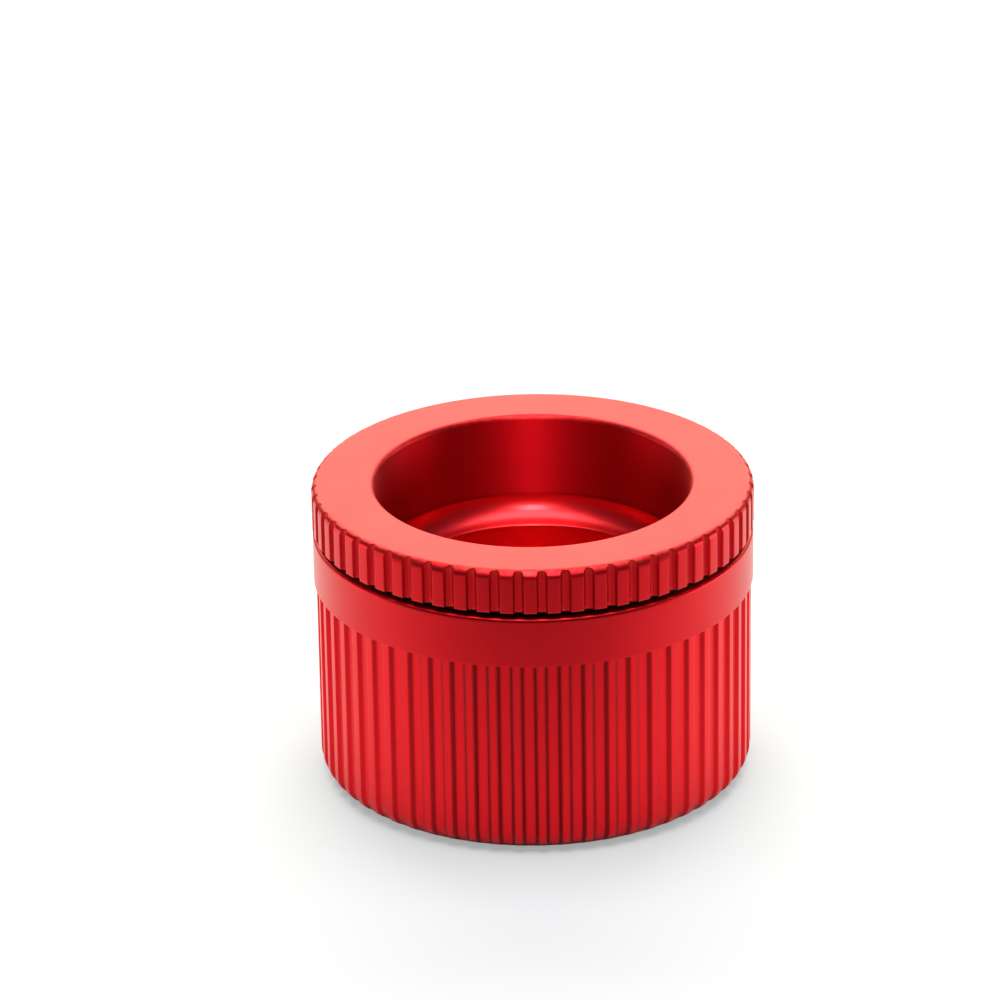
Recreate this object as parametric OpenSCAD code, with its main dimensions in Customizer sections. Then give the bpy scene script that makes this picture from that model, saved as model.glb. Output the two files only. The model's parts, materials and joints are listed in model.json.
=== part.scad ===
// Round espresso knock box: a fluted aluminium shell, a grooved screw-on rim
// collar, a drop-in bowl with a padded knock bar across it, and a screwed-on
// base plate with rubber feet.
// Units are millimetres. The origin is the centre of the resting plane,
// with +Z up and the knock bar along X.

/* [Overall size] */
// Outer diameter over the collar lands
collar_d = 110; // [106:1:116]
// Height from the resting plane to the top of the collar
total_h = 77; // [74:1:88]
// Clear diameter of the mouth
mouth_d = 79; // [75.4:0.2:79.4]

/* [Rim collar] */
// Height of the collar's grooved outer wall
collar_h = 11.2; // [10.8:0.1:11.4]
// Number of finger grooves round the collar
collar_grooves = 60; // [40:1:64]
// Radius of each groove's round cutter
groove_r = 1.3; // [0.8:0.05:1.45]
// Groove depth below the collar lands
groove_depth = 1.3; // [0.8:0.05:2.2]
// Rounding of the top shoulder
shoulder_r = 2; // [1:0.1:3]
// Rounding of the mouth lip
lip_r = 1.2; // [0.4:0.1:1.3]
// Open height between collar and body, filled by the damper ring
gap_h = 1.5; // [1.4:0.05:1.6]
// Rise of the collar for each turn of its thread
thread_pitch = 4; // [3.9:0.05:4.1]

/* [Body shell] */
// Height of the plain band under the collar
band_h = 12.65; // [8:0.05:14]
// How far the band stands proud of the flute lands
band_proud = 0.6; // [0.3:0.05:1]
// Number of flutes round the body
flutes = 58; // [36:1:60]
// Flute depth
flute_depth = 0.9; // [0.4:0.05:1.2]
// Width of a flute's flat floor
flute_floor = 2.5; // [1.5:0.1:3]
// Width of each sloped flute side
flute_side = 0.7; // [0.2:0.05:0.8]
// Rounding of the bottom edge
bottom_r = 5; // [2:0.5:6]

/* [Bowl] */
// Radius of the fillet inside the bowl's flange
ledge_fillet = 6; // [4:0.5:6.5]
// Thickness of the bowl's wall
bowl_wall = 2; // [1.5:0.1:2.2]
// Rounding inside the bowl's floor
bowl_round = 8; // [4:1:12]

/* [Knock bar] */
// Diameter of the silicone sleeve
sleeve_d = 14; // [11:0.5:14]
// Diameter of the steel rod
rod_d = 8; // [6:0.5:9]

/* [Base] */
// Diameter of each rubber foot
foot_d = 12; // [8:0.5:13]
// How far the feet lift the shell off the counter
foot_lift = 0.8; // [0.5:0.1:1.2]

/* [Hidden] */
$fn = 96;
cut = 1; // how far cutters reach past a surface
collar_r = collar_d / 2;
mouth_r = mouth_d / 2;
shell_red = [0.62, 0.03, 0.07];
trim_red = [0.66, 0.04, 0.08];

// Shell, from the collar down
collar_z0 = total_h - collar_h;
body_top = collar_z0 - gap_h;
band_r = collar_r - 0.1;
band_z0 = body_top - band_h;
land_r = band_r - band_proud;
neck_out = collar_r - 8.4;
neck_in = mouth_r + 2.9;
neck_top = total_h - 3.2;
ledge_z1 = total_h - 35;
ledge_in = mouth_r - 3.3;
shell_z0 = foot_lift;
boss_in = mouth_r - 2.9; // bore of the ring that takes the base screws

// Collar
collar_bore = collar_r - 6.9;
collar_under = total_h - 2.4; // underside of the collar's top
skirt_out = mouth_r + 2.4;
o_ring_z = total_h - 17;

// Thread on neck and collar
thread_root_w = 1.9;
thread_crest_w = 0.8;
thread_reach = 1.1; // how far a ridge stands out of its wall
thread_lift = 1.4; // first turn's height above the piece's shoulder

// Bowl and bar
flange_z0 = ledge_z1 + 1.5;
bar_z = total_h - 26.5;
bar_half = mouth_r - 2.9;
sleeve_half = mouth_r - 8;

// Base
plate_r = collar_r - 9;
plate_t = 3;
plate_top = shell_z0 + plate_t;
foot_ring_r = collar_r - 17;
foot_socket = 1.4; // how deep the feet sit in the plate
screw_ring_r = collar_r - 15;

// Helical ridge with its own width at the inner and at the outer radius
module ridge(inner_r, outer_r, inner_w, outer_w, z_start, turns, start, seg = 48) {
    steps = round(turns * seg);
    // Four corners of the section at each step
    points = [for (i = [0:steps])
        let (angle = start + i * 360 / seg,
             z = z_start + thread_pitch * i / seg,
             across = cos(angle),
             along = sin(angle))
        each [
            [inner_r * across, inner_r * along, z - inner_w / 2],
            [inner_r * across, inner_r * along, z + inner_w / 2],
            [outer_r * across, outer_r * along, z + outer_w / 2],
            [outer_r * across, outer_r * along, z - outer_w / 2]
        ]];
    sides = [for (i = [0:steps - 1], j = [0:3])
        let (here = i * 4 + j, next = i * 4 + (j + 1) % 4)
        each [[here, here + 4, next + 4], [here, next + 4, next]]];
    last = 4 * steps;
    polyhedron(points, concat([[0, 1, 2], [0, 2, 3]], sides,
        [[last, last + 2, last + 1], [last, last + 3, last + 2]]));
}

// 2D cutter that rounds a profile's corner at x, z.
// side_x and side_z (1 or -1) say which way the corner points.
module corner(x, z, r, side_x, side_z) {
    size = r + 0.2;
    translate([x - side_x * r, z - side_z * r]) difference() {
        translate([side_x > 0 ? 0 : -size, side_z > 0 ? 0 : -size]) square(size);
        circle(r);
    }
}

module ring(r_out, r_in, z_low, z_high) {
    translate([0, 0, z_low]) difference() {
        cylinder(r = r_out, h = z_high - z_low);
        translate([0, 0, -cut]) cylinder(r = r_in, h = z_high - z_low + 2 * cut);
    }
}

// Copies of the children evenly round the Z axis
module around(count, radius, z = 0, start = 0) {
    for (i = [0:count - 1])
        rotate(start + i * 360 / count) translate([radius, 0, z]) children();
}

// The children at x on the bar's axis, with their Z turned along +X
module on_bar(x = 0) {
    translate([x, 0, bar_z]) rotate([0, 90, 0]) children();
}

// One-piece fluted outer shell with its threaded neck, ledge and screw ring
module body_shell() {
    plate_seat_r = plate_r + 0.2;
    under_ledge_r = neck_in + 2.8;
    under_ledge_z0 = body_top - 4.8;
    ledge_z0 = ledge_z1 - 3;
    cavity_r = collar_r - 5.2;
    boss_z1 = shell_z0 + 11.2;
    band_bevel = 0.5;
    neck_bevel_out = 0.6;
    neck_bevel_in = 0.5;
    flute_over = 0.8; // flute cutter's reach outside the lands
    flute_mouth_half = flute_floor / 2 + flute_side * (flute_depth + flute_over) / flute_depth;

    color(shell_red)
        ridge(neck_out - 0.35, neck_out + thread_reach, thread_root_w, thread_crest_w,
            body_top + thread_lift, turns = 1.65, start = 36);
    color(shell_red) difference() {
        rotate_extrude() difference() {
            polygon([
                [plate_seat_r, shell_z0], [land_r, shell_z0],
                [land_r, band_z0], [band_r, band_z0],
                [band_r, body_top - band_bevel], [band_r - band_bevel, body_top],
                [neck_out, body_top],
                [neck_out, neck_top - neck_bevel_out], [neck_out - neck_bevel_out, neck_top],
                [neck_in + neck_bevel_in, neck_top], [neck_in, neck_top - neck_bevel_in],
                [neck_in, ledge_z1], [ledge_in, ledge_z1],
                [ledge_in, ledge_z0], [under_ledge_r, ledge_z0],
                [under_ledge_r, under_ledge_z0], [cavity_r, under_ledge_z0],
                [cavity_r, boss_z1], [boss_in, boss_z1],
                [boss_in, plate_top], [plate_seat_r, plate_top]
            ]);
            corner(land_r, shell_z0, bottom_r, 1, -1);
        }
        translate([0, 0, shell_z0 - cut]) linear_extrude(band_z0 - shell_z0 + cut)
            around(flutes, land_r, start = 268.35) polygon([
                [-flute_depth, -flute_floor / 2],
                [flute_over, -flute_mouth_half],
                [flute_over, flute_mouth_half],
                [-flute_depth, flute_floor / 2]
            ]);
        around(4, screw_ring_r, plate_top - cut) cylinder(r = 1.55, h = 8.2);
    }
}

// Grooved ring that screws down over the shell's neck
module rim_collar() {
    skirt_z0 = total_h - 23;
    bevel = 0.4;
    seal_depth = 1.4;
    seal_h = 1.8;

    color(trim_red)
        ridge(collar_bore - thread_reach, collar_bore + 0.4, thread_crest_w, thread_root_w,
            collar_z0 + thread_lift, turns = 1.5, start = 0);
    color(trim_red) difference() {
        rotate_extrude() difference() {
            polygon([
                [collar_r - bevel, collar_z0], [collar_r, collar_z0 + bevel],
                [collar_r, total_h], [mouth_r, total_h],
                [mouth_r, skirt_z0 + bevel], [mouth_r + bevel, skirt_z0],
                [skirt_out - bevel, skirt_z0], [skirt_out, skirt_z0 + bevel],
                [skirt_out, collar_under], [collar_bore, collar_under],
                [collar_bore, collar_z0]
            ]);
            corner(collar_r, total_h, shoulder_r, 1, 1);
            corner(mouth_r, total_h, lip_r, -1, 1);
            // O-ring groove
            translate([skirt_out - seal_depth, o_ring_z - seal_h / 2]) square([3, seal_h]);
        }
        around(collar_grooves, collar_r - groove_depth + groove_r, collar_z0 - cut, 272.05)
            cylinder(r = groove_r, h = collar_h + 2 * cut);
    }
}

// Black ring that closes the gap between collar and body
module damper_ring() {
    slack = 0.05;
    color([0.03, 0.03, 0.03])
        ring(collar_r - 2.4, collar_r - 6.4, body_top + slack, collar_z0 - slack);
}

// Flat seal on top of the neck
module neck_gasket() {
    slack = 0.02;
    color([0.04, 0.04, 0.04])
        ring(neck_out - 0.6, neck_in + 0.7, neck_top + slack, collar_under - slack);
}

// O-ring in the collar's skirt, which keeps the thread from rattling
module skirt_o_ring() {
    color([0.05, 0.05, 0.05]) rotate_extrude()
        translate([skirt_out - 0.5, o_ring_z]) circle(0.85, $fn = 48);
}

// Lift-out bowl that catches the spent coffee
module drop_in_bowl() {
    inner_r = mouth_r - 6.3;
    outer_r = inner_r + bowl_wall;
    under_z = 5.2;
    floor_z = under_z + 2;
    outer_round = bowl_round + 1;
    flange_r = mouth_r - 0.3;
    flange_z1 = total_h - 21.6;
    rim_taper = 0.06;
    rim_r = flange_r - rim_taper;
    notch_r = 5.6;

    color(trim_red) difference() {
        rotate_extrude() difference() {
            polygon([
                [0, under_z], [outer_r, under_z], [outer_r, flange_z0],
                [flange_r, flange_z0], [flange_r, flange_z1 - 0.3], [rim_r, flange_z1],
                [inner_r, flange_z1], [inner_r, floor_z], [0, floor_z]
            ]);
            corner(outer_r, under_z, outer_round, 1, -1);
            // Fillet inside the flange, opened through to the bore
            translate([rim_r - ledge_fillet, flange_z1]) circle(ledge_fillet);
            translate([inner_r - 1, flange_z1 - ledge_fillet + 0.2])
                square([1.3, ledge_fillet + 1]);
        }
        // Open-topped notches for the bar, stopping short of the flange's outside
        intersection() {
            cylinder(r = mouth_r - 2.5, h = total_h);
            union() {
                on_bar() cylinder(r = notch_r, h = 2 * collar_r, center = true);
                translate([-collar_r, -notch_r, bar_z])
                    cube([2 * collar_r, 2 * notch_r, total_h - bar_z]);
            }
        }
    }
    // Rounding between floor and wall, overlapping both
    color(trim_red) rotate_extrude() difference() {
        translate([0, under_z + 0.5]) square([inner_r + 0.3, bowl_round + 1.5]);
        translate([0, floor_z]) square([inner_r - bowl_round, bowl_round + 2]);
        translate([inner_r - bowl_round, floor_z + bowl_round]) circle(bowl_round);
        translate([0, floor_z + bowl_round]) square([inner_r, 3]);
        corner(outer_r, under_z, outer_round, 1, -1);
    }
}

// Rubber ring the bowl's flange rests on, with a lip up round the flange
module bowl_cushion() {
    foot_in = ledge_in + 0.2;
    outer_r = neck_in - 0.2;
    lip_in = mouth_r - 0.15;
    lip_z1 = flange_z0 + 6.5;
    bevel = 0.3;
    color([0.05, 0.05, 0.05]) rotate_extrude() polygon([
        [foot_in, ledge_z1], [outer_r, ledge_z1],
        [outer_r, lip_z1 - bevel], [outer_r - bevel, lip_z1],
        [lip_in + 0.45, lip_z1], [lip_in, lip_z1 - 0.5],
        [lip_in, flange_z0], [foot_in, flange_z0]
    ]);
}

// Rubber mat on the base plate, under the bowl
module floor_pad() {
    color([0.06, 0.06, 0.06]) difference() {
        translate([0, 0, plate_top]) cylinder(r = boss_in - 0.6, h = 1);
        translate([0, 0, plate_top - cut]) cylinder(r = 6, h = 3);
        around(6, boss_in * 0.6, plate_top - cut, 30) cylinder(r = 3, h = 3);
    }
}

// Steel rod of the knock bar
module bar_rod() {
    rod_r = rod_d / 2;
    bevel = 0.6;
    color([0.7, 0.7, 0.72]) on_bar() {
        translate([0, 0, -bar_half + bevel]) cylinder(r = rod_r, h = 2 * bar_half - 2 * bevel);
        translate([0, 0, bar_half - bevel]) cylinder(r1 = rod_r, r2 = rod_r - bevel, h = bevel);
        translate([0, 0, -bar_half]) cylinder(r1 = rod_r - bevel, r2 = rod_r, h = bevel);
    }
}

// Silicone sleeve that takes the knocks
module bar_sleeve() {
    bore_r = rod_d / 2 + 0.02;
    outer_r = sleeve_d / 2;
    edge_r = 1.2;
    color([0.6, 0.05, 0.07]) on_bar(-sleeve_half) rotate_extrude() difference() {
        translate([bore_r, 0]) square([outer_r - bore_r, 2 * sleeve_half]);
        corner(outer_r, 0, edge_r, 1, -1);
        corner(outer_r, 2 * sleeve_half, edge_r, 1, 1);
    }
}

// Thin washers between the sleeve and the bushes
module bar_washers() {
    color([0.75, 0.75, 0.77]) for (side = [-1, 1])
        on_bar(side * (sleeve_half + 0.35)) difference() {
            cylinder(r = 5.2, h = 0.6, center = true);
            cylinder(r = rod_d / 2 + 0.03, h = 2, center = true);
        }
}

// Nylon bushes that seat the bar in the bowl's notches
module bar_end_bushes() {
    color([0.08, 0.08, 0.08]) for (side = [-1, 1])
        on_bar(side * (bar_half - 2.4)) difference() {
            cylinder(r = 5.5, h = 4, center = true);
            cylinder(r = rod_d / 2 + 0.02, h = 6, center = true);
        }
}

// Round plate that closes the bottom
module base_plate() {
    hole_r = 1.7;
    color([0.1, 0.1, 0.1]) difference() {
        rotate_extrude() difference() {
            translate([0, shell_z0]) square([plate_r, plate_t]);
            corner(plate_r, shell_z0, 0.6, 1, -1);
        }
        around(4, foot_ring_r, shell_z0 - cut, 45)
            cylinder(r = foot_d / 2 + 0.1, h = foot_socket + cut);
        around(4, screw_ring_r, shell_z0) {
            translate([0, 0, -cut]) cylinder(r = hole_r, h = plate_t + 2 * cut);
            translate([0, 0, -0.01]) cylinder(r1 = 3.1, r2 = hole_r, h = 1.4);
        }
    }
}

// Four countersunk screws with hex sockets
module base_screws() {
    shank_r = 1.5;
    socket_r = 1.15;
    color([0.72, 0.72, 0.74]) around(4, screw_ring_r, shell_z0 + 0.1) difference() {
        union() {
            cylinder(r1 = 2.95, r2 = shank_r, h = 1.4);
            translate([0, 0, 1.3]) cylinder(r = shank_r, h = 7.2);
            translate([0, 0, 8.5]) cylinder(r1 = shank_r, r2 = 1.1, h = 0.5);
        }
        translate([0, 0, -cut]) linear_extrude(2.1)
            polygon([for (k = [0:5]) socket_r * [cos(60 * k), sin(60 * k)]]);
    }
}

// Four round feet pressed into the plate
module rubber_feet() {
    color([0.04, 0.04, 0.04]) around(4, foot_ring_r, start = 45)
        rotate_extrude() difference() {
            square([foot_d / 2, shell_z0 + foot_socket]);
            corner(foot_d / 2, 0, 0.5, 1, -1);
        }
}

body_shell();
rim_collar();
damper_ring();
neck_gasket();
skirt_o_ring();
drop_in_bowl();
bowl_cushion();
floor_pad();
bar_rod();
bar_sleeve();
bar_washers();
bar_end_bushes();
base_plate();
base_screws();
rubber_feet();
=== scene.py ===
import json
import math

import bmesh
import bpy
import numpy as np
from mathutils import Matrix, Vector

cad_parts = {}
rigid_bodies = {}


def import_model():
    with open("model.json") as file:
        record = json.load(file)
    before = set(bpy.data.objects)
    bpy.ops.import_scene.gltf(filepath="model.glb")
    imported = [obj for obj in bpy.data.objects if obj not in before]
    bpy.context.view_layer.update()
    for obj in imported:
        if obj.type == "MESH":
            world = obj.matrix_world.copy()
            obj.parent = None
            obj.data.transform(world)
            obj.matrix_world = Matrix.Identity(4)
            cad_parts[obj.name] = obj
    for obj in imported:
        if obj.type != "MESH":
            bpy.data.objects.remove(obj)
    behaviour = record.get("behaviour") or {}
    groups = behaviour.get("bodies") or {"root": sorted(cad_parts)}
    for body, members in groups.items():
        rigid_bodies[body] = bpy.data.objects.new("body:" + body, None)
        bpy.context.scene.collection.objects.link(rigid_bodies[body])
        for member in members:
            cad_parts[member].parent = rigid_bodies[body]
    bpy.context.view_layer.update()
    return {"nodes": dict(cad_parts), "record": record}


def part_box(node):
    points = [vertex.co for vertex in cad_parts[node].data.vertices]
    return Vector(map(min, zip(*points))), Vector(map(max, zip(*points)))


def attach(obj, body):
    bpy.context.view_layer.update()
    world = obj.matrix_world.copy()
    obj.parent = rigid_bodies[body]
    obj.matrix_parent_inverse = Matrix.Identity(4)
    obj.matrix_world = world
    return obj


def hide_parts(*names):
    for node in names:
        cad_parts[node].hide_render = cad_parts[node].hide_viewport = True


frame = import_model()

MM = 0.001
scene = bpy.context.scene

# Sizes in mm, read off the CAD nodes at rest
c_lo, c_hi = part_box("rim_collar")
b_lo, b_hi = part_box("body_shell")
w_lo, w_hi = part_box("drop_in_bowl")
p_lo, p_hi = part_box("base_plate")
H = round(c_hi.z / MM, 3)
R = round((c_hi.x - c_lo.x) / 2 / MM, 2)
MR = round((w_hi.x - w_lo.x) / 2 / MM, 2) + 0.3
Z0 = round(b_lo.z / MM, 3)
PLATE_R = round((p_hi.x - p_lo.x) / 2 / MM, 1)
C_Z0 = H - 11.2
BODY_TOP = C_Z0 - 1.5
BAND_R = R - 0.1
BAND_Z0 = BODY_TOP - 12.65
LAND_R = BAND_R - 0.6
NECK_OUT = R - 8.4
NECK_IN = MR + 2.9
NECK_TOP = H - 3.2
SKIRT_Z0 = round(c_lo.z / MM, 3)
LEDGE_Z1 = H - 35
LEDGE_IN = MR - 3.3
FLANGE_Z0 = LEDGE_Z1 + 1.5
FLANGE_Z1 = round(w_hi.z / MM, 3)
BOWL_IN = MR - 6.3
BOWL_OUT = BOWL_IN + 2
BOWL_Z0 = round(w_lo.z / MM, 3)
BOSS_IN = MR - 2.9
BOSS_Z1 = Z0 + 11.2
rod_lo, rod_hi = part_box("bar_rod")
BAR_Z = round((rod_lo.z + rod_hi.z) / 2 / MM, 3)
BAR_HALF = round(rod_hi.x / MM, 2)
SLEEVE_HALF = round(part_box("bar_sleeve")[1].x / MM, 2)
SLEEVE_R = round(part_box("bar_sleeve")[1].y / MM, 2)
ROD_R = round(rod_hi.y / MM, 2)
BODY_OF = {n: b for b, ns in frame["record"]["behaviour"]["bodies"].items() for n in ns}
SLOT_OF = {s["node"]: s["material_slot"] for s in frame["record"]["subparts"]}


# ---------------------------------------------------------------- materials
def new_mat(name):
    m = bpy.data.materials.new(name)
    m.use_nodes = True
    nt = m.node_tree
    nt.nodes.clear()
    out = nt.nodes.new("ShaderNodeOutputMaterial")
    bsdf = nt.nodes.new("ShaderNodeBsdfPrincipled")
    nt.links.new(bsdf.outputs[0], out.inputs[0])
    return m, nt, bsdf


def noise(nt, vec, scale, detail=3.0, rough=0.55):
    n = nt.nodes.new("ShaderNodeTexNoise")
    n.inputs["Scale"].default_value = scale
    n.inputs["Detail"].default_value = detail
    n.inputs["Roughness"].default_value = rough
    nt.links.new(vec, n.inputs["Vector"])
    return n.outputs["Fac"]


def remap(nt, fac, a, b, lo, hi):
    r = nt.nodes.new("ShaderNodeMapRange")
    r.inputs["From Min"].default_value = a
    r.inputs["From Max"].default_value = b
    r.inputs["To Min"].default_value = lo
    r.inputs["To Max"].default_value = hi
    nt.links.new(fac, r.inputs["Value"])
    return r.outputs["Result"]


def math_node(nt, op, a, b):
    n = nt.nodes.new("ShaderNodeMath")
    n.operation = op
    for i, v in enumerate((a, b)):
        if isinstance(v, (int, float)):
            n.inputs[i].default_value = v
        else:
            nt.links.new(v, n.inputs[i])
    return n.outputs[0]


def mix_color(nt, fac, a, b):
    n = nt.nodes.new("ShaderNodeMix")
    n.data_type = "RGBA"
    if isinstance(fac, (int, float)):
        n.inputs[0].default_value = fac
    else:
        nt.links.new(fac, n.inputs[0])
    for i, v in ((6, a), (7, b)):
        if isinstance(v, tuple):
            n.inputs[i].default_value = (*v, 1.0)
        else:
            nt.links.new(v, n.inputs[i])
    return n.outputs[2]


def surface(name, base, tint, metallic, rough, rough_var, grain, bump, wear=None, coat=0.0,
            coat_rough=0.3, specular=0.5, brushed=None, edge_tint=None, inner=None, coat_ior=1.5, turned=0.0, below=None):
    """A procedural finish: grain, roughness variation, bump and edge wear, with painted highlights and painted shade
    where masked, in object space.
    """
    m, nt, b = new_mat(name)
    tc = nt.nodes.new("ShaderNodeTexCoord").outputs["Object"]
    vec = tc
    if brushed:
        mp = nt.nodes.new("ShaderNodeMapping")
        mp.inputs["Scale"].default_value = brushed
        nt.links.new(tc, mp.inputs["Vector"])
        vec = mp.outputs["Vector"]
    fine = noise(nt, vec, grain, 4.0, 0.6)
    broad = noise(nt, tc, 60.0, 3.0, 0.5)
    colour = mix_color(nt, remap(nt, broad, 0.3, 0.7, 0.0, 1.0), base, tint)
    if inner:
        # painted shade: inside this radius the bore's wall is coloured darker than the outside, standing in for the
        # shade down the bore
        sep = nt.nodes.new("ShaderNodeVectorMath")
        sep.operation = "MULTIPLY"
        sep.inputs[1].default_value = (1, 1, 0)
        nt.links.new(tc, sep.inputs[0])
        ln = nt.nodes.new("ShaderNodeVectorMath")
        ln.operation = "LENGTH"
        nt.links.new(sep.outputs[0], ln.inputs[0])
        inside = remap(nt, ln.outputs["Value"], inner[0] - 0.0004, inner[0] + 0.0004, 1.0, 0.0)
        colour = mix_color(nt, inside, colour, inner[1])
    if below:
        # the fluted part, below the band, is coloured a little brighter than the turned band above it
        sz = nt.nodes.new("ShaderNodeSeparateXYZ")
        nt.links.new(tc, sz.inputs[0])
        colour = mix_color(nt, remap(nt, sz.outputs["Z"], below[0] - 0.0003, below[0], 1.0, 0.0), colour, below[1])
    if turned:
        # the lathe's circumferential marks spread reflections along the axis
        tg = nt.nodes.new("ShaderNodeTangent")
        tg.direction_type = "RADIAL"
        tg.axis = "Z"
        nt.links.new(tg.outputs[0], b.inputs["Tangent"])
        b.inputs["Anisotropic Rotation"].default_value = 0.25
        if inner:
            nt.links.new(math_node(nt, "MULTIPLY", inside, turned), b.inputs["Anisotropic"])
        else:
            b.inputs["Anisotropic"].default_value = turned
    if base[0] > 4 * base[1] and metallic:
        shade_attr = nt.nodes.new("ShaderNodeAttribute")
        shade_attr.attribute_name = "painted_shade"
        # painted shade: the marked grooves and seams are darkened in the colour, most where seen square-on; those
        # turned away are darkened less, as they fill with grazing reflections
        rad = nt.nodes.new("ShaderNodeVectorMath")
        rad.operation = "MULTIPLY"
        rad.inputs[1].default_value = (1, 1, 0)
        nt.links.new(tc, rad.inputs[0])
        unit = nt.nodes.new("ShaderNodeVectorMath")
        unit.operation = "NORMALIZE"
        nt.links.new(rad.outputs[0], unit.inputs[0])
        dot = nt.nodes.new("ShaderNodeVectorMath")
        dot.operation = "DOT_PRODUCT"
        nt.links.new(unit.outputs[0], dot.inputs[0])
        nt.links.new(nt.nodes.new("ShaderNodeNewGeometry").outputs["Incoming"], dot.inputs[1])
        square_on = remap(nt, dot.outputs["Value"], 0.58, 0.86, 0.12, 0.74)
        colour = mix_color(nt, math_node(nt, "MULTIPLY", shade_attr.outputs["Fac"], square_on), colour, (0.10, 0.001, 0.002))
    # edge wear, and painted highlights where the mask is set on lit roundings, both in the pale wear colour
    if wear:
        at = nt.nodes.new("ShaderNodeAttribute")
        at.attribute_name = "wear_and_highlight_edge"
        edge = remap(nt, at.outputs["Fac"], 0.06, 0.30, 0.0, 1.0)
        patch = remap(nt, noise(nt, tc, 420.0, 3.0, 0.7), 0.42, 0.62, 0.15, 1.0)
        amount = math_node(nt, "MULTIPLY", math_node(nt, "MULTIPLY", edge, patch), wear[1])
        colour = mix_color(nt, amount, colour, wear[0])
    if base[0] > 4 * base[1]:
        # light bounced onto the pale floor stays neutral, as in a colour-corrected product shot
        path = nt.nodes.new("ShaderNodeLightPath").outputs["Is Diffuse Ray"]
        colour = mix_color(nt, path, colour, (0.30, 0.27, 0.27))
    nt.links.new(colour, b.inputs["Base Color"])
    b.inputs["Metallic"].default_value = metallic
    b.inputs["Specular IOR Level"].default_value = specular
    if edge_tint:
        b.inputs["Specular Tint"].default_value = (*edge_tint, 1.0)
    r1 = remap(nt, fine, 0.25, 0.75, rough - rough_var, rough + rough_var)
    r2 = remap(nt, broad, 0.3, 0.7, -rough_var * 0.6, rough_var * 0.6)
    total = math_node(nt, "ADD", r1, r2)
    if turned and inner:
        total = math_node(nt, "ADD", total, math_node(nt, "MULTIPLY", inside, 0.12))
    nt.links.new(total, b.inputs["Roughness"])
    if coat:
        b.inputs["Coat Weight"].default_value = coat
        b.inputs["Coat Roughness"].default_value = coat_rough
        b.inputs["Coat IOR"].default_value = coat_ior
    bn = nt.nodes.new("ShaderNodeBump")
    bn.inputs["Strength"].default_value = bump
    bn.inputs["Distance"].default_value = 0.00005
    nt.links.new(fine, bn.inputs["Height"])
    nt.links.new(bn.outputs["Normal"], b.inputs["Normal"])
    return m


RED = (0.76, 0.0060, 0.0140)
RED2 = (0.72, 0.0055, 0.0130)
PALE = (0.80, 0.09, 0.07)
GRAZE = (1.0, 0.98, 0.94)
# painted light: the bowl's red is set brighter than the collar's, so the deep bore below the ledge is brighter through
# its bounces
DEEP = (0.94, 0.0080, 0.0170)
DEEP2 = (0.92, 0.0078, 0.0160)
MAT = {
    "red_anodised": surface("red_anodised", RED, RED2, 1.0, 0.40, 0.03, 3400.0, 0.30, (PALE, 0.5), 1.0, 0.36, edge_tint=GRAZE, coat_ior=1.2,
                            below=(BAND_Z0 * MM, (0.89, 0.0070, 0.0158))),
    "red_anodised_collar": surface("red_anodised_collar", RED, RED2, 1.0, 0.40, 0.03, 3400.0, 0.30, (PALE, 0.5), 1.0, 0.36, edge_tint=GRAZE,
                                   coat_ior=1.2, inner=((MR + 0.6) * MM, (0.62, 0.0052, 0.012)), turned=0.85),
    "red_anodised_bowl": surface("red_anodised_bowl", DEEP, DEEP2, 1.0, 0.38, 0.03, 3400.0, 0.25, (PALE, 0.3), 1.0, 0.27, edge_tint=GRAZE, coat_ior=1.42, turned=0.35),
    "red_silicone": surface("red_silicone", (0.80, 0.018, 0.024), (0.74, 0.016, 0.022), 0.0, 0.55, 0.07, 2200.0, 0.5,
                            ((0.5, 0.06, 0.06), 0.4), specular=0.4),
    "black_seal": surface("black_seal", (0.006, 0.006, 0.006), (0.010, 0.010, 0.010), 0.0, 0.62, 0.08, 2600.0, 0.5, specular=0.25),
    "black_rubber": surface("black_rubber", (0.016, 0.016, 0.017), (0.024, 0.024, 0.024), 0.0, 0.66, 0.08, 2200.0, 0.6,
                            ((0.06, 0.06, 0.06), 0.5), specular=0.35),
    "black_nylon": surface("black_nylon", (0.022, 0.022, 0.023), (0.03, 0.03, 0.03), 0.0, 0.48, 0.06, 1800.0, 0.35,
                           ((0.07, 0.07, 0.07), 0.4), specular=0.45),
    "black_anodised": surface("black_anodised", (0.028, 0.028, 0.030), (0.040, 0.040, 0.042), 1.0, 0.42, 0.05, 3200.0, 0.3,
                              ((0.35, 0.35, 0.36), 0.4), 0.15, 0.3),
    "steel": surface("steel", (0.60, 0.60, 0.61), (0.50, 0.50, 0.51), 1.0, 0.30, 0.06, 1500.0, 0.35,
                     ((0.75, 0.75, 0.76), 0.4), brushed=(0.12, 1.0, 1.0)),
}


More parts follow.
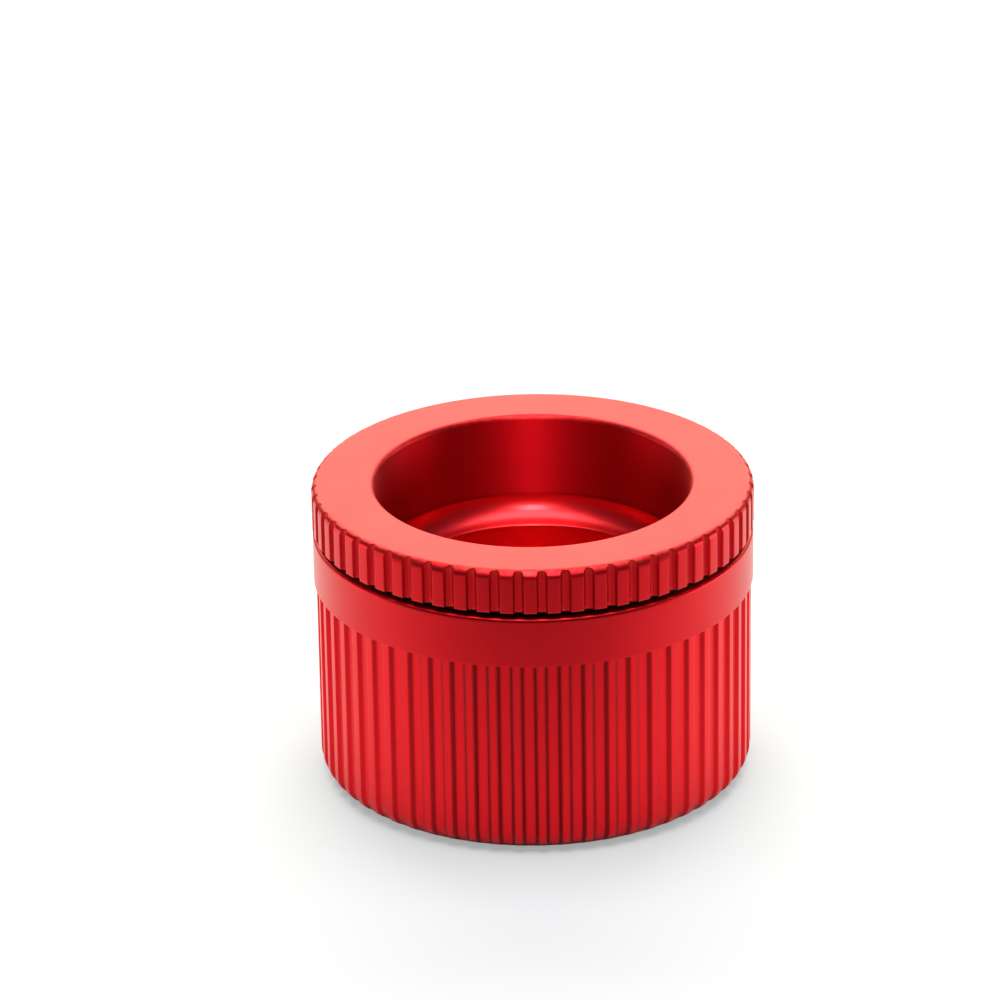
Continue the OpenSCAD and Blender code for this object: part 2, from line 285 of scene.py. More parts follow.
# ---------------------------------------------------------------- profiles
def rounded(points, support=0.22):
    """Closed profile. points are (r, z) or (r, z, fillet). Returns a fine polyline whose straight
    runs have support points near each end, so that small fillets shade cleanly."""
    n = len(points)
    out = []
    for i, p in enumerate(points):
        f = p[2] if len(p) > 2 else 0.0
        v = np.array(p[:2], float)
        if f <= 0:
            out.append(("c", v))
            continue
        a = np.array(points[i - 1][:2], float) - v
        b = np.array(points[(i + 1) % n][:2], float) - v
        la, lb = np.linalg.norm(a), np.linalg.norm(b)
        a, b = a / la, b / lb
        ang = math.acos(max(-1.0, min(1.0, float(a @ b))))
        t = min(f / math.tan(ang / 2), 0.49 * la, 0.49 * lb)
        rr = t * math.tan(ang / 2)
        c = v + (a + b) / np.linalg.norm(a + b) * (rr / math.sin(ang / 2))
        s, e = v + a * t - c, v + b * t - c
        turn = math.pi - ang
        k = max(3, int(math.ceil(turn / math.radians(15 if f < 2 else 9))))
        for j in range(k + 1):
            w = j / k
            q = (math.sin((1 - w) * turn) * s + math.sin(w * turn) * e) / math.sin(turn) if turn < 3.1 else s
            out.append(("a", c + q))
    pts = []
    m = len(out)
    for i in range(m):
        p, q = out[i][1], out[(i + 1) % m][1]
        pts.append(p)
        L = float(np.linalg.norm(q - p))
        if L > 3 * support:
            pts.append(p + (q - p) * (support / L))
            pts.append(q + (p - q) * (support / L))
    return np.array(pts)


def finish_mesh(name, verts, faces, node, mat=None, angle=40.0, ride=None, do_replace=True):
    me = bpy.data.meshes.new(name)
    me.from_pydata(verts, [], faces)
    me.validate()
    me.update()
    ob = bpy.data.objects.new(name, me)
    scene.collection.objects.link(ob)
    clean(ob, angle)
    dress(ob, node, mat, ride, do_replace)
    return ob


def clean(ob, angle=40.0):
    bm = bmesh.new()
    bm.from_mesh(ob.data)
    bmesh.ops.remove_doubles(bm, verts=bm.verts, dist=1e-7)
    bmesh.ops.dissolve_degenerate(bm, edges=bm.edges, dist=1e-8)
    bmesh.ops.recalc_face_normals(bm, faces=bm.faces)
    bm.to_mesh(ob.data)
    bm.free()
    ob.data.shade_smooth()
    ob.data.set_sharp_from_angle(angle=math.radians(angle))


def mesh_points(ob):
    co = np.zeros(len(ob.data.vertices) * 3, np.float64)
    ob.data.vertices.foreach_get("co", co)
    return co.reshape(-1, 3)


def put_attribute(me, name, values):
    old = me.attributes.get(name)
    if old:
        me.attributes.remove(old)
    a = me.attributes.new(name, "FLOAT", "POINT")
    a.data.foreach_set("value", np.asarray(values, np.float32))


def edge_mask(me):
    """Marks convex edges on the vertices, for edge wear: how far each vertex stands above its neighbours."""
    nv, ne = len(me.vertices), len(me.edges)
    co = np.zeros(nv * 3, np.float64)
    me.vertices.foreach_get("co", co)
    co = co.reshape(-1, 3)
    no = np.zeros(nv * 3, np.float64)
    me.vertices.foreach_get("normal", no)
    no = no.reshape(-1, 3)
    ed = np.zeros(ne * 2, np.int64)
    me.edges.foreach_get("vertices", ed)
    ed = ed.reshape(-1, 2)
    d = co[ed[:, 1]] - co[ed[:, 0]]
    d /= np.maximum(np.linalg.norm(d, axis=1), 1e-12)[:, None]
    v = np.zeros(nv)
    c = np.zeros(nv)
    np.add.at(v, ed[:, 0], -(no[ed[:, 0]] * d).sum(1))
    np.add.at(v, ed[:, 1], (no[ed[:, 1]] * d).sum(1))
    np.add.at(c, ed[:, 0], 1)
    np.add.at(c, ed[:, 1], 1)
    v = np.clip(v / np.maximum(c, 1), 0, 1)
    put_attribute(me, "wear_and_highlight_edge", v)


def dress(ob, node, mat=None, ride=None, do_replace=True):
    slot = SLOT_OF[node]
    edge_mask(ob.data)
    ob.data.materials.clear()
    ob.data.materials.append(mat or MAT[slot])
    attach(ob, ride or BODY_OF[node])
    if do_replace:
        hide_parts(node)


def wear_and_highlight_only(ob, keep, value=None):
    """Clears the mask of edge wear and painted highlights where keep is false, or sets it where keep is true."""
    a = ob.data.attributes["wear_and_highlight_edge"]
    v = np.zeros(len(ob.data.vertices), np.float32)
    a.data.foreach_get("value", v)
    v = np.where(keep, v, 0) if value is None else np.where(keep, value, v)
    a.data.foreach_set("value", v.astype(np.float32))


def revolve(prof, n, axis="z", centre=(0, 0, 0)):
    """Closed profile (r, h) in mm turned about an axis: vertices in metres and quads. Points at r = 0
    are merged later."""
    a = np.arange(n) * 2 * math.pi / n
    P = np.zeros((n, len(prof), 3))
    P[..., 0] = np.cos(a)[:, None] * prof[None, :, 0]
    P[..., 1] = np.sin(a)[:, None] * prof[None, :, 0]
    P[..., 2] = prof[None, :, 1]
    if axis == "x":
        P = P[..., [2, 0, 1]]
    return grid(P + np.array(centre))


def grid(P):
    n, m, _ = P.shape
    idx = np.arange(n * m).reshape(n, m)
    i2, j2 = np.roll(idx, -1, 0), np.roll(idx, -1, 1)
    f = np.stack([idx, i2, np.roll(i2, -1, 1), j2], -1).reshape(-1, 4)
    return (P.reshape(-1, 3) * MM).tolist(), f.tolist()


def turned(name, node, pts, n=256, axis="z", centre=(0, 0, 0), support=0.22, **kw):
    v, f = revolve(rounded(pts, support), n, axis, centre)
    return finish_mesh(name, v, f, node, **kw)


def cut(ob, cutters):
    """Cuts the cutter objects out of ob for good, then removes them."""
    for c in cutters:
        mod = ob.modifiers.new("cut", "BOOLEAN")
        mod.operation = "DIFFERENCE"
        mod.solver = "EXACT"
        mod.object = c
    bpy.context.view_layer.update()
    dg = bpy.context.evaluated_depsgraph_get()
    me = bpy.data.meshes.new_from_object(ob.evaluated_get(dg))
    ob.modifiers.clear()
    old = ob.data
    ob.data = me
    bpy.data.meshes.remove(old)
    for c in cutters:
        bpy.data.objects.remove(c)


def raw(name, verts, faces):
    me = bpy.data.meshes.new(name)
    me.from_pydata(verts, [], faces)
    me.update()
    ob = bpy.data.objects.new(name, me)
    scene.collection.objects.link(ob)
    clean(ob)
    return ob


def prism(name, poly, a, b, axis="z", at=(0, 0, 0), taper=1.0):
    """A closed prism with this 2D outline (mm), from a to b along the axis."""
    k = len(poly)
    v = []
    for h, s in ((a, 1.0), (b, taper)):
        for x, y in poly:
            q = (x * s, y * s, h) if axis == "z" else (h, x * s, y * s)
            v.append(tuple((q[i] + at[i]) * MM for i in range(3)))
    f = [list(range(k))[::-1], list(range(k, 2 * k))]
    f += [[i, (i + 1) % k, k + (i + 1) % k, k + i] for i in range(k)]
    return raw(name, v, f)


def circle(r, n=48):
    return [(r * math.cos(2 * math.pi * i / n), r * math.sin(2 * math.pi * i / n)) for i in range(n)]


# ---------------------------------------------------------------- rim collar
def make_collar():
    N, gr, depth, rs, lip = 60, 1.3, 1.3, 2.0, 1.2
    d = R - depth + gr
    pm = math.degrees(math.asin(math.sqrt(gr * gr - 0.35 ** 2) / d))
    cs = []
    for k in range(-8, 9):
        ph = pm * math.sin(k * math.pi / 16)
        s = math.radians(ph)
        cs.append((ph, d * math.cos(s) - math.sqrt(max(0.0, gr * gr - (d * math.sin(s)) ** 2))))
    side = [(pm + 0.03, R - 0.22), (pm + 0.09, R - 0.07), (pm + 0.20, R - 0.01), (pm + 0.42, R)]
    cs = [(-p, r) for p, r in reversed(side)] + cs + side + [(180.0 / N, R)]
    ang, rad = [], []
    for i in range(N):
        for p, r in cs:
            ang.append(math.radians(272.05 + i * 360.0 / N + p))
            rad.append(r)
    ang, rad = np.array(ang), np.array(rad)
    cols = []
    ch = 0.35
    # outside, from the lower edge up to the shoulder, following each groove's own edge
    theta0 = np.arccos(np.clip((rad - (R - rs)) / rs, 0, 1))
    z_top = H - rs + rs * np.sin(theta0)
    cols.append((np.minimum(R - ch, rad - 0.12), np.full_like(rad, C_Z0)))
    cols.append((np.minimum(R - ch * 0.3, rad - 0.03), np.full_like(rad, C_Z0 + ch * 0.3)))
    cols.append((rad, np.full_like(rad, C_Z0 + ch)))
    cols.append((rad, np.full_like(rad, C_Z0 + ch + 0.2)))
    for w in (0.35, 0.7):
        cols.append((rad, C_Z0 + ch + 0.2 + w * (z_top - 0.3 - C_Z0 - ch - 0.2)))
    cols.append((rad, z_top - 0.3))
    cols.append((rad, z_top - 0.10))
    for w in (0.0, 0.12, 0.25, 0.4, 0.55, 0.7, 0.85, 1.0):
        th = theta0 + np.minimum(0.06, (math.pi / 2 - theta0) * 0.4)
        th = th + w * (math.pi / 2 - th)
        cols.append((R - rs + rs * np.cos(th), H - rs + rs * np.sin(th)))
    cols.append((np.full_like(rad, R - rs - 0.25), np.full_like(rad, H)))
    inner = rounded([
        (MR, H, lip), (MR, SKIRT_Z0, 0.12), (MR + 2.4, SKIRT_Z0, 0.4),
        (MR + 2.4, H - 17.9, 0.1), (MR + 1.0, H - 17.9, 0.1), (MR + 1.0, H - 16.1, 0.1), (MR + 2.4, H - 16.1, 0.1),
        (MR + 2.4, H - 2.4, 0.2), (R - 6.9, H - 2.4, 0.3), (R - 6.9, C_Z0, 0.3), (R - 2, C_Z0), (R - 2, H)])
    # keep the part of the inner profile from the lip round to the underside
    keep = [q for q in inner if not (q[0] > R - 2.6 and q[1] > C_Z0 - 1)
            and not (q[1] > H - 0.001 and q[0] > MR + lip + 0.01)]
    start = int(np.argmin([abs(q[0] - (MR + lip)) + abs(q[1] - H) for q in keep]))
    keep = keep[start:] + keep[:start]
    cols.append((np.full_like(rad, MR + lip + 0.25), np.full_like(rad, H)))
    for q in keep:
        cols.append((np.full_like(rad, q[0]), np.full_like(rad, q[1])))
    P = np.zeros((len(ang), len(cols), 3))
    for j, (r, z) in enumerate(cols):
        P[:, j, 0] = r * np.cos(ang)
        P[:, j, 1] = r * np.sin(ang)
        P[:, j, 2] = z
    P[:, :, :2] *= 1 - 2e-5
    v, f = grid(P)
    ob = finish_mesh("Rim_Collar", v, f, "rim_collar", angle=48)
    co = mesh_points(ob)
    r = np.hypot(co[:, 0], co[:, 1]) / MM
    wall = (r > R - 0.78) & (r < R - 0.06) & (co[:, 2] / MM < H - rs + 0.6)
    z = co[:, 2] / MM
    # painted shade: the groove walls (0.75), and the skirt's lower edge inside the bore where it meets the bowl's
    # flange (1.0), are marked for darkening
    put_attribute(ob.data, "painted_shade", wall * 0.75 + ((z < SKIRT_Z0 + 0.4) & (r < MR + 0.6)) * 1.0)
    # painted highlight: the mouth's lip gets a pale band through the wear mask, standing in for its lit rounding
    lip_highlight = (r < MR + 0.75) & (z > H - 0.9)
    wear_and_highlight_only(ob, (z > C_Z0 - 0.5))
    # painted highlight: the shoulder's upper rounding gets a pale band through the wear mask, standing in for its lit
    # edge
    wear_and_highlight_only(ob, (r > R - 1.9) & (r < R - 0.35) & (z > H - 1.5), 0.22)
    wear_and_highlight_only(ob, lip_highlight, 0.16)
    return ob


# ---------------------------------------------------------------- body shell
def make_body():
    N, dep = 58, 0.9
    half = 180.0 / N
    cs = [(0.0, 1.0), (0.7, 1.0), (1.24, 1.0), (1.34, 0.985), (1.42, 0.90), (1.70, 0.50), (1.99, 0.09), (2.06, 0.02),
          (2.17, 0.0), (2.5, 0.0)]
    cs = [(-p, w) for p, w in reversed(cs[1:])] + cs + [(half, 0.0)]
    ang, wt = [], []
    for i in range(N):
        for p, w in cs:
            ang.append(math.radians(268.35 + i * 360.0 / N + p))
            wt.append(w)
    ang, wt = np.array(ang), np.array(wt)
    br = 5.0
    one = np.ones_like(wt)
    cols = []
    # underside and rounded bottom edge
    for r in (LAND_R - br - 1.0, LAND_R - br - 0.2):
        cols.append((one * r, one * Z0))
    for ps in (88, 82, 74, 66, 58, 49, 40, 30, 20, 10, 0):
        s = math.radians(ps)
        fade = min(1.0, max(0.0, (72.0 - ps) / 52.0))
        fade = fade * fade * (3 - 2 * fade)
        n = wt * dep * fade
        cols.append((LAND_R - br + (br - n) * math.cos(s), Z0 + br - (br - n) * math.sin(s)))
    for z in (Z0 + br + 1.0, 20.0, 36.0, BAND_Z0 - 0.5, BAND_Z0 - 0.02):
        cols.append((LAND_R - wt * dep, one * z))
    for q in rounded([
            (LAND_R - 2, BAND_Z0), (BAND_R, BAND_Z0, 0.08), (BAND_R, BODY_TOP, 0.8), (NECK_OUT, BODY_TOP, 0.3),
            (NECK_OUT, NECK_TOP, 0.5), (NECK_IN, NECK_TOP, 0.4), (NECK_IN, LEDGE_Z1, 0.15), (LEDGE_IN, LEDGE_Z1, 0.2),
            (LEDGE_IN, LEDGE_Z1 - 3, 0.2), (NECK_IN + 2.8, LEDGE_Z1 - 3), (NECK_IN + 2.8, BODY_TOP - 4.8),
            (R - 5.2, BODY_TOP - 4.8), (R - 5.2, BOSS_Z1), (MR + 2.15, BOSS_Z1), (MR + 2.15, Z0 + 3), (PLATE_R + 0.2, Z0 + 3),
            (PLATE_R + 0.2, Z0, 0.25), (LAND_R - 7, Z0), (LAND_R - 7, Z0 + 2.2), (LAND_R - 2, Z0 + 2.2)], 0.3):
        if q[0] >= LAND_R - 2.01 and q[1] < BAND_Z0 - 0.2:
            continue
        if PLATE_R + 0.5 < q[0] < LAND_R - 1.9 and q[1] < Z0 + 2.5:
            continue
        if q[0] <= LAND_R + 0.3 and q[0] > R - 4 and abs(q[1] - BAND_Z0) < 0.01:
            continue
        cols.append((one * q[0], one * q[1]))
    P = np.zeros((len(ang), len(cols), 3))
    for j, (r, z) in enumerate(cols):
        P[:, j, 0] = r * np.cos(ang)
        P[:, j, 1] = r * np.sin(ang)
        P[:, j, 2] = z
    v, f = grid(P)
    ob = finish_mesh("Body_Shell", v, f, "body_shell", angle=50)
    co = mesh_points(ob)
    r = np.hypot(co[:, 0], co[:, 1]) / MM
    # painted shade: soft dark bands over each flute's walls and the edges of its floor, standing in for their shade
    turn = (np.degrees(np.arctan2(co[:, 1], co[:, 0])) - 268.35 + half) % (2 * half) - half
    zone = (co[:, 2] / MM < BAND_Z0 + 0.01) & (r > LAND_R - 6)
    shade = np.interp(np.abs(turn), [1.1, 1.24, 1.34, 2.06, 2.17, 2.3], [0.0, 0.45, 1.0, 1.0, 0.55, 0.0])
    put_attribute(ob.data, "painted_shade", shade * zone)
    return ob


# ---------------------------------------------------------------- screw thread
def make_thread(name, node, ra, rb, wa, wb, z_start, turns, start, pitch=4.0, seg=120):
    """A helical ridge whose ends taper into the wall it grows from (its wide side)."""
    n = int(round(turns * seg))
    root, crest = (ra, rb) if wa > wb else (rb, ra)
    wide, slim = max(wa, wb), min(wa, wb)
    sec = []
    for i in range(n + 1):
        t = min(i, n - i) / (seg * 0.05)
        k = min(1.0, t) ** 0.7
        top = root + (crest - root) * (0.12 + 0.88 * k)
        a = math.radians(start + i * 360.0 / seg)
        z = z_start + pitch * i / seg
        e = 0.12 * (1 if crest > root else -1)
        ring = [(root, -wide / 2), (root, wide / 2), (top - e, slim / 2 + 0.09), (top, slim / 2 - 0.06),
                (top, -slim / 2 + 0.06), (top - e, -slim / 2 - 0.09)]
        sec.append([(r * math.cos(a) * MM, r * math.sin(a) * MM, (z + h) * MM) for r, h in ring])
    k = len(sec[0])
    v = [q for s_ in sec for q in s_]
    f = [[i * k + j, i * k + (j + 1) % k, (i + 1) * k + (j + 1) % k, (i + 1) * k + j] for i in range(n) for j in range(k)]
    f += [list(range(k))[::-1], [n * k + j for j in range(k)]]
    return finish_mesh(name, v, f, node, angle=35)


def make_threads():
    make_thread("Neck_Thread", "body_shell", NECK_OUT - 0.35, NECK_OUT + 1.1, 1.9, 0.8, BODY_TOP + 1.4, 1.65, 36)
    make_thread("Collar_Thread", "rim_collar", R - 8.0, R - 6.5, 0.8, 1.9, C_Z0 + 1.4, 1.5, 0)


# ---------------------------------------------------------------- bowl
def make_bowl():
    fr, fz, rr = MR - 0.3, FLANGE_Z1, 6.0
    cx = fr - 0.06 - rr
    arc = []
    stop = math.asin(min(1.0, math.sqrt(max(0.0, 1 - ((BOWL_IN + 0.3 - cx) / rr) ** 2))))
    for k in range(15):
        a = -stop * (1 - k / 14) - 0.0
        arc.append((cx + rr * math.cos(a), fz + rr * math.sin(a)))
    pts = [(0, BOWL_Z0), (BOWL_OUT, BOWL_Z0, 9.0), (BOWL_OUT, FLANGE_Z0, 0.3), (fr, FLANGE_Z0, 0.3), (fr, fz - 0.3)]
    top = [(fr - 0.06, fz)]
    body = rounded(pts + top + [(fr - 0.06, fz - 0.6)] + [(0.0, 30.0)], 0.25)
    # outside from the axis to the top of the flange
    out = [q for q in body if not (q[0] < 0.01 and q[1] > 10) and not (q[0] < fr - 1 and q[1] > FLANGE_Z0 + 1)]
    i0 = int(np.argmin([q[0] + abs(q[1] - BOWL_Z0) for q in out]))
    out = [q for q in out[i0:] + out[:i0] if q[0] > -1]
    out = [q for q in out if not (q[0] < 0.5 and q[1] > BOWL_Z0 + 0.01)]
    out = out[:int(np.argmax([q[1] for q in out])) + 1]
    inside = list(reversed(arc[:-1]))
    e = 0.8
    lip = [(BOWL_IN + 0.16, arc[0][1] - 0.12), (BOWL_IN + 0.05, arc[0][1] - 0.35), (BOWL_IN, arc[0][1] - e)]
    br = 8.0
    zf = BOWL_Z0 + 2.0
    down = [(BOWL_IN, arc[0][1] - e - 0.4), (BOWL_IN, zf + br + 0.3)]
    for k in range(11):
        a = math.pi / 2 * k / 10
        down.append((BOWL_IN - br + br * math.cos(a), zf + br - br * math.sin(a)))
    down += [(BOWL_IN - br - 0.5, zf), (8.0, zf), (0.0, zf)]
    prof = np.array([tuple(q) for q in out] + inside + lip + down)
    v, f = revolve(prof, 288)
    # drop the closing quads along the axis
    m = len(prof)
    f = [q for k, q in enumerate(f) if k % m != m - 1]
    ob = raw("Drop_In_Bowl", v, f)
    cutters = []
    for s in (-1, 1):
        poly = [(5.6 * math.cos(math.radians(a)), 5.6 * math.sin(math.radians(a))) for a in range(180, 361, 6)]
        poly += [(5.6, 8.0), (-5.6, 8.0)]
        a, b = sorted((s * 28.0, s * (MR - 2.6)))
        cutters.append(prism("notch", poly, a, b, axis="x", at=(0, 0, BAR_Z)))
    cut(ob, cutters)
    clean(ob, 35)
    bm = bmesh.new()
    bm.from_mesh(ob.data)
    lay = bm.edges.layers.float.new("bevel_weight_edge")
    for e in bm.edges:
        if len(e.link_faces) == 2 and e.calc_face_angle() > 0.9 and all(
                abs(p.co.x) > 0.028 and abs(p.co.y) < 0.00575 for p in e.verts):
            e[lay] = 1.0
    bm.to_mesh(ob.data)
    bm.free()
    bev = ob.modifiers.new("notch_edges", "BEVEL")
    bev.width = 0.00015
    bev.segments = 2
    bev.limit_method = "WEIGHT"
    dress(ob, "drop_in_bowl")
    co = mesh_points(ob)
    wear_and_highlight_only(ob, co[:, 2] / MM < fz - 2.0)
    # painted shade along the flange's top, where it meets the collar's skirt
    put_attribute(ob.data, "painted_shade", (co[:, 2] / MM > fz - 0.35) * 1.0)
    return ob


# ---------------------------------------------------------------- the rest
def make_rings():
    turned("Damper_Ring", "damper_ring", [(R - 6.4, BODY_TOP + 0.05, 0.25), (R - 2.4, BODY_TOP + 0.05, 0.25),
                                          (R - 2.4, C_Z0 - 0.05, 0.35), (R - 6.4, C_Z0 - 0.05, 0.25)], 320)
    turned("Neck_Gasket", "neck_gasket", [(NECK_IN + 0.7, NECK_TOP + 0.02, 0.15), (NECK_OUT - 0.6, NECK_TOP + 0.02, 0.15),
                                          (NECK_OUT - 0.6, H - 2.42, 0.15), (NECK_IN + 0.7, H - 2.42, 0.15)], 288)
    turned("Bowl_Cushion", "bowl_cushion", [
        (LEDGE_IN + 0.2, LEDGE_Z1, 0.3), (NECK_IN - 0.2, LEDGE_Z1, 0.3), (NECK_IN - 0.2, FLANGE_Z0 + 6.5, 0.4),
        (MR - 0.15, FLANGE_Z0 + 6.5, 0.4), (MR - 0.15, FLANGE_Z0 - 0.02, 0.2), (LEDGE_IN + 0.2, FLANGE_Z0 - 0.02, 0.3)], 288)
    prof = np.array([(MR + 1.9 + 0.85 * math.cos(a), H - 17 + 0.85 * math.sin(a))
                     for a in [2 * math.pi * k / 24 for k in range(24)]])
    v, f = revolve(prof, 288)
    finish_mesh("Skirt_O_Ring", v, f, "skirt_o_ring", angle=70)


def make_bar():
    L, q = BAR_HALF, ROD_R
    turned("Bar_Rod", "bar_rod", [(0, -L), (q, -L, 0.6), (q, L, 0.6), (0, L)], 64, "x", (0, 0, BAR_Z))
    S, r = SLEEVE_HALF, SLEEVE_R
    pts = [(q + 0.02, -S, 0.2), (r, -S, 1.2)]
    # shallow moulded grip lines near each end
    for s in (-1, 1):
        xs = [s * (S - 4.2 - 2.4 * k) for k in range(3)]
        for x in sorted(xs):
            pts += [(r, x - 0.55, 0.12), (r - 0.4, x - 0.3, 0.12), (r - 0.4, x + 0.3, 0.12), (r, x + 0.55, 0.12)]
    pts += [(r, S, 1.2), (q + 0.02, S, 0.2)]
    turned("Bar_Sleeve", "bar_sleeve", pts, 96, "x", (0, 0, BAR_Z), mat=MAT["red_silicone"])
    for name, node, x, h, ro, ri in (("Bar_Washer", "bar_washers", SLEEVE_HALF + 0.35, 0.3, 5.2, q + 0.03),
                                     ("Bar_End_Bush", "bar_end_bushes", BAR_HALF - 2.4, 2.0, 5.5, q + 0.02)):
        for s, tag in ((-1, "L"), (1, "R")):
            fl = 0.12 if h < 1 else 0.35
            turned(f"{name}_{tag}", node, [(ri, s * x - h, fl * 0.5), (ro, s * x - h, fl), (ro, s * x + h, fl),
                                           (ri, s * x + h, fl * 0.5)], 72, "x", (0, 0, BAR_Z), 0.1)


def make_base():
    t = 3.0
    ob = raw("Base_Plate", *open_revolve([(0, Z0), (PLATE_R, Z0, 0.6), (PLATE_R, Z0 + t, 0.25), (0, Z0 + t)], 256))
    cutters = []
    sr, fr = R - 15, R - 17
    for i in range(4):
        a = math.radians(45 + 90 * i)
        cutters.append(prism("foot_pocket", circle(6.1, 64), Z0 - 1, Z0 + 1.4, at=(fr * math.cos(a), fr * math.sin(a), 0)))
        a = math.radians(90 * i)
        at = (sr * math.cos(a), sr * math.sin(a), 0)
        cutters.append(prism("hole", circle(1.7, 40), Z0 - 1, Z0 + t + 1, at=at))
        cutters.append(prism("sink", circle(3.1 + 1.0, 40), Z0 - 1.0, Z0 + 1.4, at=at, taper=1.7 / 4.1))
    cut(ob, cutters)
    clean(ob, 30)
    bev = ob.modifiers.new("edges", "BEVEL")
    bev.width = 0.00015
    bev.segments = 2
    bev.limit_method = "ANGLE"
    bev.angle_limit = math.radians(40)
    bev.harden_normals = False
    dress(ob, "base_plate")
    co = mesh_points(ob)
    wear_and_highlight_only(ob, np.hypot(co[:, 0], co[:, 1]) / MM > PLATE_R - 0.9)
    for i in range(4):
        a = math.radians(90 * i)
        at = (sr * math.cos(a), sr * math.sin(a), 0)
        pts = [(0, Z0 + 0.1), (2.95, Z0 + 0.1, 0.1), (2.95, Z0 + 0.25, 0.05), (1.5, Z0 + 1.5)]
        z = Z0 + 1.9
        while z < Z0 + 8.2:
            pts += [(1.5, z, 0.02), (1.27, z + 0.22), (1.27, z + 0.26), (1.5, z + 0.44, 0.02)]
            z += 0.5
        pts += [(1.2, Z0 + 9.0, 0.1), (0, Z0 + 9.0)]
        sc = raw(f"Base_Screw_{i + 1}", *open_revolve(pts, 40, at))
        hexa = [(1.15 * math.cos(math.radians(60 * k)), 1.15 * math.sin(math.radians(60 * k))) for k in range(6)]
        cut(sc, [prism("socket", hexa, Z0 - 1, Z0 + 1.2, at=at)])
        clean(sc, 30)
        dress(sc, "base_screws")
        a = math.radians(45 + 90 * i)
        ft = [(0, 0.25), (3.0, 0.25, 0.2), (3.4, 0, 0.15), (4.6, 0, 0.15), (4.75, 0.22, 0.1), (5.0, 0.22, 0.1),
              (5.15, 0, 0.15), (6.0, 0, 0.5), (6.0, Z0 + 1.4, 0.1), (0, Z0 + 1.4)]
        v, f = open_revolve(ft, 72, (fr * math.cos(a), fr * math.sin(a), 0))
        finish_mesh(f"Rubber_Foot_{i + 1}", v, f, "rubber_feet", angle=50)


def open_revolve(pts, n, at=(0, 0, 0)):
    """A solid of revolution whose profile starts and ends on the axis."""
    prof = rounded(pts)
    i0 = int(np.argmin(prof[:, 0] + abs(prof[:, 1] - pts[0][1])))
    prof = np.roll(prof, -i0, 0)
    prof = prof[[k for k in range(len(prof)) if not (prof[k, 0] < 1e-6 and k != 0
                 and abs(prof[k, 1] - pts[-1][1]) > 1e-6)]]
    m = len(prof)
    v, f = revolve(prof, n, "z", at)
    return v, [q for k, q in enumerate(f) if k % m != m - 1]


make_collar()
make_body()
make_threads()
make_bowl()
make_rings()
make_bar()
make_base()
pad = frame["nodes"]["floor_pad"]
pad.data.materials.clear()
pad.data.materials.append(MAT["black_rubber"])


# ---------------------------------------------------------------- studio
def sweep_material():
    """Pale paper. The camera sees it exposed to white; for the object's reflections its colour is painted darker,
    falling off towards the camera side of the studio as painted shade for the unlit room there."""
    m, nt, b = new_mat("sweep")
    tc = nt.nodes.new("ShaderNodeTexCoord").outputs["Object"]
    g = noise(nt, tc, 900.0, 2.0)
    cam_col = mix_color(nt, g, (0.700, 0.706, 0.726), (0.716, 0.722, 0.742))
    sep = nt.nodes.new("ShaderNodeSeparateXYZ")
    nt.links.new(tc, sep.inputs[0])
    fall = remap(nt, sep.outputs["Y"], FALL[0], FALL[1], FALL[2], FALL[3])
    comb = nt.nodes.new("ShaderNodeCombineColor")
    for i in range(3):
        nt.links.new(fall, comb.inputs[i])
    path = nt.nodes.new("ShaderNodeLightPath").outputs["Is Camera Ray"]
    nt.links.new(mix_color(nt, path, comb.outputs[0], cam_col), b.inputs["Base Color"])
    b.inputs["Roughness"].default_value = 0.85
    b.inputs["Specular IOR Level"].default_value = 0.1
    b.inputs["Emission Color"].default_value = (1, 1, 1, 1)
    nt.links.new(math_node(nt, "MULTIPLY", path, 0.35), b.inputs["Emission Strength"])
    return m


# painted shade: the range over which the floor's colour, as seen in reflections, darkens towards the camera side
FALL = (-0.30, -0.08, 0.12, 1.0)


def area(name, loc, target, sx, sy, power, color=(1, 1, 1)):
    d = bpy.data.lights.new(name, "AREA")
    d.shape = "RECTANGLE"
    d.size, d.size_y = sx, sy
    d.energy = power
    d.color = color
    o = bpy.data.objects.new(name, d)
    scene.collection.objects.link(o)
    o.location = loc
    o.rotation_euler = (Vector(target) - Vector(loc)).to_track_quat("-Z", "Y").to_euler()
    return o


me = bpy.data.meshes.new("Sweep")
me.from_pydata([(-4, -4, 0), (4, -4, 0), (4, 4, 0), (-4, 4, 0)], [], [(0, 1, 2, 3)])
floor = bpy.data.objects.new("Sweep", me)
scene.collection.objects.link(floor)
me.materials.append(sweep_material())

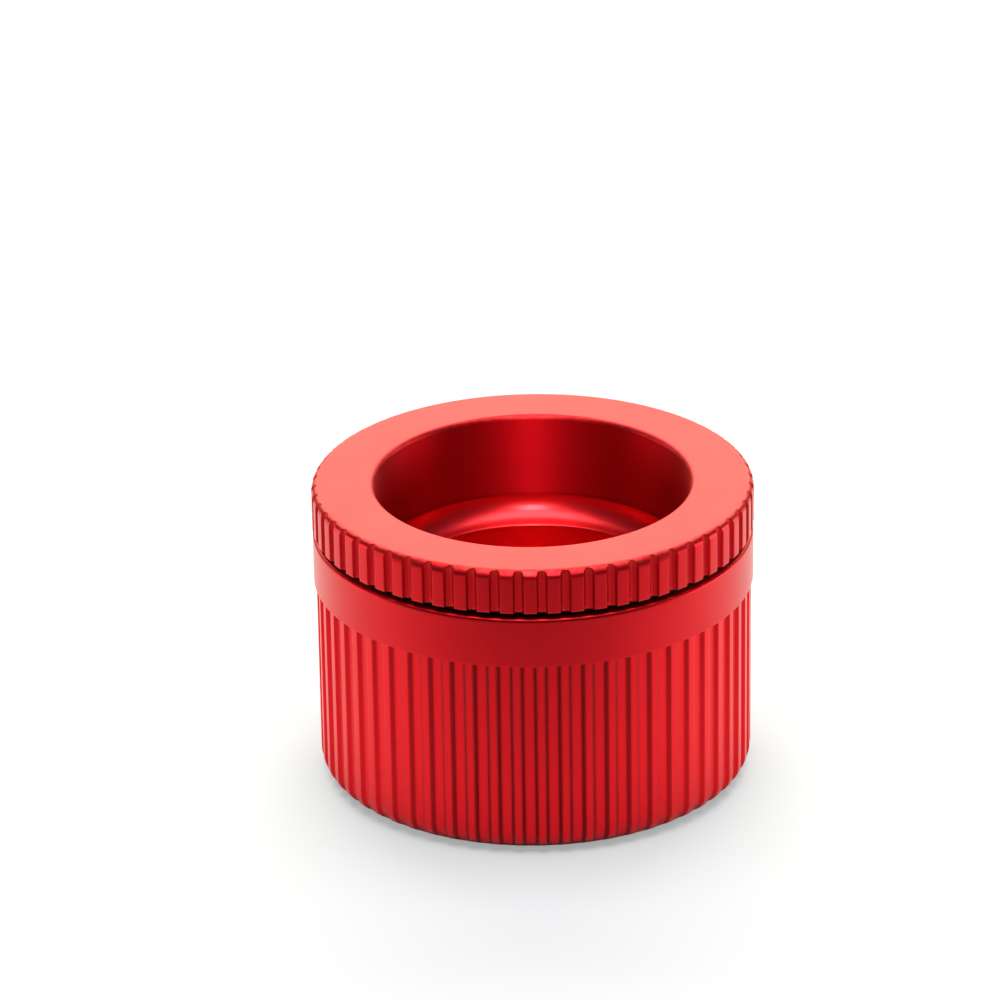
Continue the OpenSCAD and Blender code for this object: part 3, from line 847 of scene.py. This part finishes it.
area("Back_Softbox", (0.0, 1.7, 1.15), (0, 0, 0.05), 2.6, 1.5, 34.0, (1.0, 0.97, 0.78))
area("Top_Softbox", (0.0, -0.1, 1.9), (0, 0, 0), 1.4, 1.6, 27.0)
area("Left_Card", (-1.6, 0.25, 0.24), (0, 0, 0.04), 1.2, 0.42, 5.0)
area("Right_Card", (1.6, 0.25, 0.24), (0, 0, 0.04), 1.2, 0.42, 7.5)

# a soft strip over the camera, aimed into the mouth: light linking keeps it on the collar, bowl, sleeve and cushion
strip = area("Mouth_Strip", (0.0, -0.85, 0.95), (0, 0, 0.06), 0.25, 0.5, 6.5)
lit = bpy.data.collections.new("Mouth_Strip_Lights")
for o in bpy.data.objects:
    if o.type == "MESH" and o.name.split(".")[0] in ("Rim_Collar", "Drop_In_Bowl", "Bar_Sleeve", "Bowl_Cushion"):
        lit.objects.link(o)
strip.light_linking.receiver_collection = lit

world = bpy.data.worlds.new("Studio")
scene.world = world
world.use_nodes = True
bg = world.node_tree.nodes["Background"]
bg.inputs[0].default_value = (1, 1, 1, 1)
bg.inputs[1].default_value = 0.06
scene.cycles.glossy_bounces = 8
scene.cycles.max_bounces = 12

scene.view_settings.view_transform = "Standard"
scene.view_settings.look = "None"
scene.view_settings.exposure = 0.0
scene.view_settings.gamma = 1.0

# ---------------------------------------------------------------- camera
yaw, pitch, roll = -0.00582235, 0.42401246, -0.01626332
cy, sy, cp, sp = math.cos(yaw), math.sin(yaw), math.cos(pitch), math.sin(pitch)
fwd = Vector((sy * cp, cy * cp, -sp))
right = Vector((cy, -sy, 0))
up = right.cross(fwd)
X = right * math.cos(roll) + up * math.sin(roll)
Y = up * math.cos(roll) - right * math.sin(roll)
cam_data = bpy.data.cameras.new("Camera")
cam_data.sensor_width = 36.0
cam_data.lens = 209.582
cam_data.clip_end = 20.0
cam = bpy.data.objects.new("Camera", cam_data)
scene.collection.objects.link(cam)
rot = Matrix((X, Y, -fwd)).transposed()
cam.matrix_world = Matrix.Translation((-0.00042, -1.319987, 0.667220)) @ rot.to_4x4()
scene.camera = cam

bpy.context.view_layer.update()
